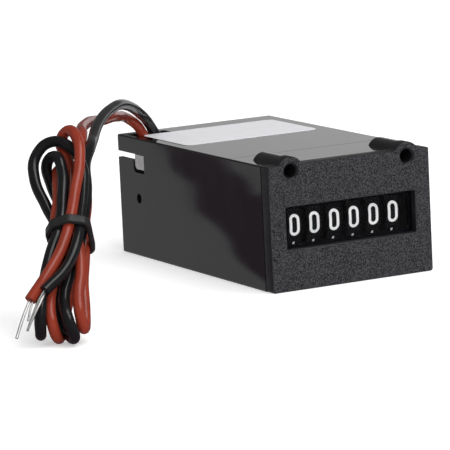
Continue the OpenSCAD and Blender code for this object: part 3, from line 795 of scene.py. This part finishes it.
def make_window():
    half_w = WINDOW_W / 2 + LENS_MARGIN - LENS_FIT
    half_h = WINDOW_H / 2 + LENS_MARGIN - LENS_FIT
    outer = round_rect(-half_w, half_w, WHEEL_Z - half_h, WHEEL_Z + half_h, LENS_R)
    lens = plate("lens_plate", [outer], LENS_FRONT, LENS_BACK, LENS_EDGE)
    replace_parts(dress(lens, "clear_window"), "window_lens")
    opening = round_rect(-MASK_SIDE, MASK_SIDE, WHEEL_Z - MASK_LOW, WHEEL_Z + MASK_HIGH, LENS_R)
    ends = (LENS_BACK + BORDER_NEAR, LENS_BACK + BORDER_FAR)
    border = plate("lens_border", [outer, opening], *ends, BORDER_EDGE)
    dress(border, "wheel_black", mat=PRINT_BLACK)


make_window()


# Digits: strokes laid flat, then wrapped on the drums
DIGIT_HALF_W, DIGIT_HALF_H, STROKE_HALF, ONE_HALF = 0.8, 1.8, 0.28, 0.2
INK_SINK, INK_RISE = 0.01, 0.035
INK_LOW, INK_HIGH = WHEEL_R - INK_SINK, WHEEL_R + INK_RISE
STROKE_STEP, MITRE_LIMIT, NEAR_ZERO = 0.25, 0.5, 1e-6
DIGIT_TURN = math.radians(36)


def digit_strokes():
    """Strokes of each digit from zero, as (points, closed) or (points, closed, half the width)."""
    w, h = DIGIT_HALF_W, DIGIT_HALF_H
    bowl = h - w
    zero = arc(0, bowl, w, w, 0, 180, 16) + arc(0, -bowl, w, w, 180, 360, 16)
    six_loop = arc(0, -0.12 * h, w, w, 0, 180, 16) + arc(0, -bowl, w, w, 180, 360, 16)
    six_back = arc(0, bowl, w, w, 25, 180, 14) + [(-w, -0.3 * h)]
    five_bowl = arc(0, -bowl + 0.1, w, w + 0.1, 125, -150, 20)
    three = arc(0, bowl - 0.02, w * 0.92, w + 0.02, 155, -75, 16)
    three += arc(0, -bowl + 0.06, w, w + 0.06, 75, -155, 18)
    return [
        [(zero, True)],
        [([(0, h + 0.15), (0, -h - 0.15)], False, ONE_HALF)],
        [(arc(0, bowl, w, w, 170, -30, 16) + [(-w, -h), (w, -h)], False)],
        [(three, False)],
        [([(0.15, h), (-w, -0.7), (w + 0.1, -0.7)], False), ([(0.35, 0.35), (0.35, -h)], False)],
        [([(w * 0.9, h), (-w * 0.75, h), (-w * 0.85, 0.35)] + five_bowl[1:], False)],
        [(six_loop, True), (six_back, False)],
        [([(-w, h), (w, h), (-0.3, -h)], False)],
        [
            (arc(0, h - 0.84, w * 0.88, 0.84, 0, 360, 32)[:-1], True),
            (arc(0, -h + 0.96, w, 0.96, 0, 360, 32)[:-1], True),
        ],
        [
            ([(-x, -z) for x, z in six_loop], True),
            ([(-x, -z) for x, z in six_back], False),
        ],
    ]


def stepped(points, closed):
    """The same line with no step longer than STROKE_STEP."""
    ends = points + points[:1] if closed else points
    out = []
    for a, b in zip(ends, ends[1:]):
        count = max(1, math.ceil(math.dist(a, b) / STROKE_STEP - NEAR_ZERO))
        for k in range(count):
            out.append((a[0] + (b[0] - a[0]) * k / count, a[1] + (b[1] - a[1]) * k / count))
    return out if closed else out + [points[-1]]


def ribbon(name, points, closed, half=STROKE_HALF):
    """Flat solid of a stroke: X across, Z up, and its thickness in Y."""
    points = stepped(points, closed)
    n = len(points)
    sides = []
    for i, p in enumerate(points):
        before = points[i - 1] if closed or i else p
        after = points[(i + 1) % n] if closed or i < n - 1 else p
        turns = []
        for a, b in ((before, p), (p, after)):
            d = Vector((b[0] - a[0], b[1] - a[1]))
            if d.length > NEAR_ZERO:
                turns.append(Vector((-d.y, d.x)).normalized())
        mean = sum(turns, Vector((0, 0))).normalized()
        reach = half / max(MITRE_LIMIT, mean.dot(turns[0]))
        sides.append((Vector(p) + reach * mean, Vector(p) - reach * mean))
    bm = bmesh.new()
    rings = []
    for left, right in sides:
        corners = [(left, INK_LOW), (left, INK_HIGH), (right, INK_HIGH), (right, INK_LOW)]
        rings.append([bm.verts.new(Vector((q.x, -y, q.y)) * MM) for q, y in corners])
    for i in range(n if closed else n - 1):
        a, b = rings[i], rings[(i + 1) % n]
        for k in range(len(a)):
            m = (k + 1) % len(a)
            bm.faces.new((a[k], a[m], b[m], b[k]))
    if not closed:
        bm.faces.new(rings[0])
        bm.faces.new(rings[-1][::-1])
    return closed_solid(name, bm)


def wrapped_digit(value, strokes):
    parts = [ribbon(f"digit_{value}_{i}", *stroke) for i, stroke in enumerate(strokes)]
    solid = combine(parts[0], parts[1:], "UNION") if len(parts) > 1 else parts[0]
    bm = bmesh.new()
    bm.from_mesh(solid.data)
    bmesh.ops.triangulate(bm, faces=[f for f in bm.faces if len(f.verts) > 4])
    for v in bm.verts:
        x, radius, up = v.co.x / MM, -v.co.y / MM, v.co.z / MM
        a = up / WHEEL_R - value * DIGIT_TURN
        v.co = Vector((x, WHEEL_Y - radius * math.cos(a), WHEEL_Z + radius * math.sin(a))) * MM
    bm.to_mesh(solid.data)
    bm.free()
    return solid


def make_digits():
    ring = joined("digits", [wrapped_digit(v, s) for v, s in enumerate(digit_strokes())])
    middle = (WHEEL_COUNT + 1) / 2
    for i in range(1, WHEEL_COUNT + 1):
        mesh = ring.data.copy()
        mesh.transform(Matrix.Translation((WHEEL_PITCH * (middle - i) * MM, 0, 0)))
        piece = keep_mesh(f"digits_{i}", mesh)
        dress(piece, "white_label", f"wheel_{i}", PRINT_WHITE)
    bpy.data.objects.remove(ring)


make_digits()


# Return spring: an open coil with closed ends, sized to the return spring's box in the model
SPRING_WIRE, SPRING_TURNS, SPRING_STEPS = 0.3, 8, 16
SPRING_END_PITCH = 0.32


def make_spring():
    low, high = (Vector(corner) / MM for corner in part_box("return_spring"))
    middle = (low + high) / 2
    coil_r = (high.x - low.x - SPRING_WIRE) / 2
    start = low.z + SPRING_WIRE / 2
    open_turns = SPRING_TURNS - 2
    pitch = (high.z - low.z - SPRING_WIRE - 2 * SPRING_END_PITCH) / open_turns
    points = []
    for k in range(SPRING_TURNS * SPRING_STEPS + 1):
        turn = k / SPRING_STEPS
        opened = min(max(turn - 1, 0), open_turns)
        z = start + SPRING_END_PITCH * (turn - opened) + pitch * opened
        a = 2 * math.pi * turn
        points.append((middle.x + coil_r * math.cos(a), middle.y + coil_r * math.sin(a), z))
    coil = line_curve("spring_line", points, SPRING_WIRE / 2, steps=3, sides=3)
    spring = keep_mesh("spring_coil", merged(mesh_of(coil)))
    bpy.data.objects.remove(coil)
    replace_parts(dress(spring, "steel_rod"), "return_spring")
    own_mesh(spring)


make_spring()


# CAD nodes that show as they are
SHOWN = {
    "plated_steel": ["movement_frame", "verge"],
    "steel_rod": ["wheel_shaft", "pinion_shaft", "armature_pin"],
    "soft_iron": ["coil_core", "armature"],
    "wheel_black": [f"number_wheel_{i}" for i in range(1, WHEEL_COUNT + 1)],
    "pinion_natural": [f"transfer_pinion_{i}" for i in range(1, WHEEL_COUNT)],
    "bobbin_black": ["coil_bobbin"],
    "copper_winding": ["coil_winding"],
    "tinned_metal": ["lead_terminals"],
}
for slot, names in SHOWN.items():
    for name in names:
        nodes[name].data.materials.clear()
        nodes[name].data.materials.append(FINISHES[slot])


# Floor, light and surroundings. The floor's size and the lamps' places and sizes are in metres
FLOOR_SIZE = 6.0
FLOOR_LIFT = 0.38
FLOOR_WHITE = (0.9, 0.9, 0.9, 1)
FLOOR_MIRRORED, FLOOR_MIRRORED_DARK = (0.48, 0.48, 0.49, 1), (0.12, 0.08, 0.1, 1)
DARK_EDGE_AT, DARK_EDGE_NORMAL, DARK_EDGE_W = (-19.4, -24.7), (-0.931, -0.365), 1.6
DARK_W, DARK_L, DARK_END_W = 13.0, 112.0, 10.0
WAVE_SIZE, WAVE_DEPTH = 50.0, 6.0
AMBIENT = 0.55
ROOM_DIM = 0.13
CARD_Y, CARD_LEFT, CARD_RIGHT, CARD_TOP = 110, 27, 330, 150
CARD_FULL, CARD_DIM, CARD_LEVEL = 75, 0.63, 0.71
# Heights on the card, and its level there
CARD_HEIGHTS = ((20, 0.03), (29, 1.0), (60, 1.0), (67, 0.25))
KEY_AT, KEY_TARGET, KEY_SIZE, KEY_WATTS = (0.2, -0.45, 0.95), (-0.02, 0, 0.01), 0.7, 4.4
FRONT_AT, FRONT_TARGET, FRONT_SIZE, FRONT_WATTS = (-0.1, -0.95, 0.25), (-0.02, -0.02, 0.012), 0.4, 4.4


def math_node(tree, operation, first, second, third=None):
    """Math of sockets, the second of which may be a plain number."""
    node = tree.nodes.new("ShaderNodeMath")
    node.operation = operation
    tree.links.new(first, node.inputs[0])
    if isinstance(second, float):
        node.inputs[1].default_value = second
    else:
        tree.links.new(second, node.inputs[1])
    if third:
        tree.links.new(third, node.inputs[2])
    return node.outputs[0]


def light_path_any(tree, names):
    path = tree.nodes.new("ShaderNodeLightPath")
    total = path.outputs[names[0]]
    for name in names[1:]:
        total = math_node(tree, "MAXIMUM", total, path.outputs[name])
    return total


def floor_ramp(tree, value, middle, width):
    return map_range(tree, value, (middle - width / 2) * MM, (middle + width / 2) * MM)


def mirrored_floor(tree):
    """The floor in reflections: grey, with a dark strip with wavy edges on the left of the case."""
    where = tree.nodes.new("ShaderNodeTexCoord").outputs["Object"]
    normal = Vector(DARK_EDGE_NORMAL)
    sides = (normal, Vector((normal.y, -normal.x)))
    feet = [side.dot(Vector(DARK_EDGE_AT)) for side in sides]
    dots = []
    for side in sides:
        dot = tree.nodes.new("ShaderNodeVectorMath")
        dot.operation = "DOT_PRODUCT"
        dot.inputs[1].default_value = (*side, 0)
        tree.links.new(where, dot.inputs[0])
        dots.append(dot.outputs["Value"])
    waves = tree.nodes.new("ShaderNodeTexNoise")
    waves.noise_dimensions = "1D"
    waves.inputs["Detail"].default_value = 0.0
    waves.inputs["Scale"].default_value = 1 / (WAVE_SIZE * MM)
    tree.links.new(dots[1], waves.inputs["W"])
    across = math_node(tree, "MULTIPLY_ADD", waves.outputs["Fac"], WAVE_DEPTH * MM, dots[0])
    edge = feet[0] + WAVE_DEPTH / 2
    beyond = math_node(
        tree,
        "MULTIPLY",
        floor_ramp(tree, across, edge + DARK_W, DARK_EDGE_W),
        floor_ramp(tree, dots[1], feet[1] + DARK_L, DARK_END_W),
    )
    dark = math_node(tree, "SUBTRACT", floor_ramp(tree, across, edge, DARK_EDGE_W), beyond)
    tone = tree.nodes.new("ShaderNodeMix")
    tone.data_type = "RGBA"
    tone.inputs["A"].default_value = FLOOR_MIRRORED
    tone.inputs["B"].default_value = FLOOR_MIRRORED_DARK
    tree.links.new(dark, tone.inputs["Factor"])
    glow = tree.nodes.new("ShaderNodeEmission")
    tree.links.new(tone.outputs["Result"], glow.inputs["Color"])
    return glow.outputs[0]


def stage_sheet(name, corners):
    mesh = bpy.data.meshes.new(name)
    mesh.from_pydata(corners, [], [(0, 1, 2, 3)])
    sheet = bpy.data.objects.new(name, mesh)
    bpy.context.collection.objects.link(sheet)
    mat = bpy.data.materials.new(name)
    mat.use_nodes = True
    tree = mat.node_tree
    tree.nodes.remove(tree.nodes["Principled BSDF"])
    mesh.materials.append(mat)
    return tree


def shown_in_reflections(tree, usual, mirrored):
    pick = tree.nodes.new("ShaderNodeMixShader")
    tree.links.new(light_path_any(tree, ["Is Glossy Ray"]), pick.inputs["Fac"])
    tree.links.new(usual, pick.inputs[1])
    tree.links.new(mirrored, pick.inputs[2])
    tree.links.new(pick.outputs[0], tree.nodes["Material Output"].inputs["Surface"])


def add_floor():
    s = FLOOR_SIZE / 2
    tree = stage_sheet("floor", [(-s, -s, 0), (s, -s, 0), (s, s, 0), (-s, s, 0)])
    paper = tree.nodes.new("ShaderNodeBsdfDiffuse")
    paper.inputs["Color"].default_value = FLOOR_WHITE
    glow = tree.nodes.new("ShaderNodeEmission")
    lift = math_node(tree, "MULTIPLY", light_path_any(tree, ["Is Camera Ray"]), FLOOR_LIFT)
    tree.links.new(lift, glow.inputs["Strength"])
    both = tree.nodes.new("ShaderNodeAddShader")
    tree.links.new(paper.outputs[0], both.inputs[0])
    tree.links.new(glow.outputs[0], both.inputs[1])
    shown_in_reflections(tree, both.outputs[0], mirrored_floor(tree))


def add_card():
    """White card behind the case, there in reflections only."""
    left, right, top, at = (v * MM for v in (CARD_LEFT, CARD_RIGHT, CARD_TOP, CARD_Y))
    tree = stage_sheet("card", [(left, at, 0), (right, at, 0), (right, at, top), (left, at, top)])
    where = tree.nodes.new("ShaderNodeTexCoord")
    split = tree.nodes.new("ShaderNodeSeparateXYZ")
    tree.links.new(where.outputs["Object"], split.inputs[0])
    fade = map_range(tree, split.outputs["X"], left, CARD_FULL * MM, CARD_DIM, CARD_LEVEL)
    band = tree.nodes.new("ShaderNodeValToRGB")
    stops = band.color_ramp.elements
    while len(stops) < len(CARD_HEIGHTS):
        stops.new(1.0)
    for stop, (z, gain) in zip(stops, CARD_HEIGHTS):
        stop.position = z / CARD_TOP
        stop.color = (gain, gain, gain, 1)
    tree.links.new(map_range(tree, split.outputs["Z"], 0.0, top), band.inputs["Fac"])
    glow = tree.nodes.new("ShaderNodeEmission")
    tree.links.new(fade, glow.inputs["Strength"])
    tree.links.new(band.outputs["Color"], glow.inputs["Color"])
    clear = tree.nodes.new("ShaderNodeBsdfTransparent")
    shown_in_reflections(tree, clear.outputs[0], glow.outputs[0])


def add_world():
    """White to the camera, a plain ambient level to the surfaces and a dim room in reflections."""
    world = bpy.data.worlds.new("world")
    bpy.context.scene.world = world
    world.use_nodes = True
    tree = world.node_tree
    back = tree.nodes["Background"]
    back.inputs["Color"].default_value = (1, 1, 1, 1)
    seen = light_path_any(tree, ["Is Camera Ray", "Is Transmission Ray"])
    level = tree.nodes.new("ShaderNodeMix")
    level.inputs["B"].default_value = ROOM_DIM
    tree.links.new(light_path_any(tree, ["Is Glossy Ray"]), level.inputs["Factor"])
    tree.links.new(map_range(tree, seen, 0.0, 1.0, low=AMBIENT), level.inputs["A"])
    tree.links.new(level.outputs["Result"], back.inputs["Strength"])


def add_lamp(name, place, target, size, watts, mirrored):
    data = bpy.data.lights.new(name, "AREA")
    data.shape = "SQUARE"
    data.size = size
    data.energy = watts
    lamp = bpy.data.objects.new(name, data)
    lamp.location = place
    lamp.visible_glossy = mirrored
    lamp.rotation_mode = "QUATERNION"
    lamp.rotation_quaternion = (Vector(target) - Vector(place)).to_track_quat("-Z", "Y")
    bpy.context.collection.objects.link(lamp)


add_floor()
add_card()
add_world()
add_lamp("key", KEY_AT, KEY_TARGET, KEY_SIZE, KEY_WATTS, mirrored=True)
add_lamp("front", FRONT_AT, FRONT_TARGET, FRONT_SIZE, FRONT_WATTS, mirrored=False)

bpy.context.scene.view_settings.view_transform = "Standard"
